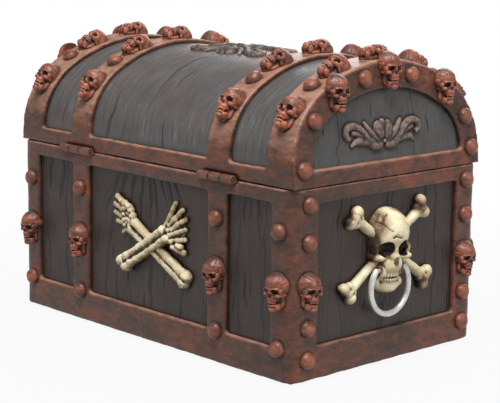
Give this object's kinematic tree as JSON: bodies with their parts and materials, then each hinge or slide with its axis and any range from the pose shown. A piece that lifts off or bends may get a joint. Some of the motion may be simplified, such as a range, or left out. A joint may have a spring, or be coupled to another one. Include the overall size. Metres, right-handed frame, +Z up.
{
  "type": "treasure chest box",
  "caption": "Small cast treasure chest box with a hinged barrel lid, raised bands with studs and little skulls, crossed arm bones, and a skull with a swinging ring on each end.",
  "frame": {"origin": "centre of the felt underside, on the surface the chest stands on", "axes": "+Z up, +X along the length, front towards -Y, hinges on the back at +Y"},
  "size_m": [0.1628, 0.1046, 0.1103],
  "materials": {
    "dark_planks": "matte painted cast resin with plank grain",
    "dark_scroll": "matte painted cast resin, dry-brushed",
    "rust_band": "matte rust-brown paint with worn edges",
    "rust_ornament": "matte rust-red paint with dark crevices",
    "bone": "matte bone paint with a brown wash",
    "ring_metal": "plain silver metal",
    "hinge_metal": "painted over in the band's rust colour",
    "felt": "thin black felt"
  },
  "bodies": {
    "base": {"arm_bones_back_over": "bone", "arm_bones_back_under": "bone", "arm_bones_front_over": "bone", "arm_bones_front_under": "bone", "base_bottom_band": "rust_band", "base_felt_pad": "felt", "base_shell": "dark_planks", "base_skulls_back": "rust_ornament", "base_skulls_front": "rust_ornament", "base_skulls_left": "rust_ornament", "base_skulls_right": "rust_ornament", "base_studs": "rust_ornament", "base_top_band": "rust_band", "corner_post_back_left": "rust_band", "corner_post_back_right": "rust_band", "corner_post_front_left": "rust_band", "corner_post_front_right": "rust_band", "crossbone_left_falling": "bone", "crossbone_left_rising": "bone", "crossbone_right_falling": "bone", "crossbone_right_rising": "bone", "handle_skull_left": "bone", "handle_skull_right": "bone", "hinge_base_leaf_left": "hinge_metal", "hinge_base_leaf_right": "hinge_metal", "hinge_base_nails": "hinge_metal", "hinge_pin_left": "hinge_metal", "hinge_pin_right": "hinge_metal", "strap_back_left": "rust_band", "strap_back_right": "rust_band", "strap_front_left": "rust_band", "strap_front_right": "rust_band"},
    "lid": {"hinge_lid_leaf_left": "hinge_metal", "hinge_lid_leaf_right": "hinge_metal", "hinge_lid_nails": "hinge_metal", "lid_arch_skulls_left": "rust_ornament", "lid_arch_skulls_right": "rust_ornament", "lid_end_band_left": "rust_band", "lid_end_band_right": "rust_band", "lid_rim_band": "rust_band", "lid_scroll_left": "dark_scroll", "lid_scroll_right": "dark_scroll", "lid_scroll_top": "dark_scroll", "lid_shell": "dark_planks", "lid_skulls_left_end_band": "rust_ornament", "lid_skulls_left_strap": "rust_ornament", "lid_skulls_right_end_band": "rust_ornament", "lid_skulls_right_strap": "rust_ornament", "lid_strap_left": "rust_band", "lid_strap_right": "rust_band", "lid_studs": "rust_ornament"},
    "ring_left": {"handle_ring_left": "ring_metal"},
    "ring_right": {"handle_ring_right": "ring_metal"}
  },
  "joints": [
    {"name": "lid_hinge", "type": "hinge", "parent": "base", "child": "lid", "pos_m": [0, 0.04825, 0.0658], "axis": [-1, 0, 0], "range_deg": [0, 105]},
    {"name": "ring_left_swing", "type": "hinge", "parent": "base", "child": "ring_left", "pos_m": [-0.0772, 0.002, 0.03415], "axis": [0, 1, 0], "range_deg": [0, 100]},
    {"name": "ring_right_swing", "type": "hinge", "parent": "base", "child": "ring_right", "pos_m": [0.0772, 0.002, 0.03415], "axis": [0, -1, 0], "range_deg": [0, 100]}
  ]
}
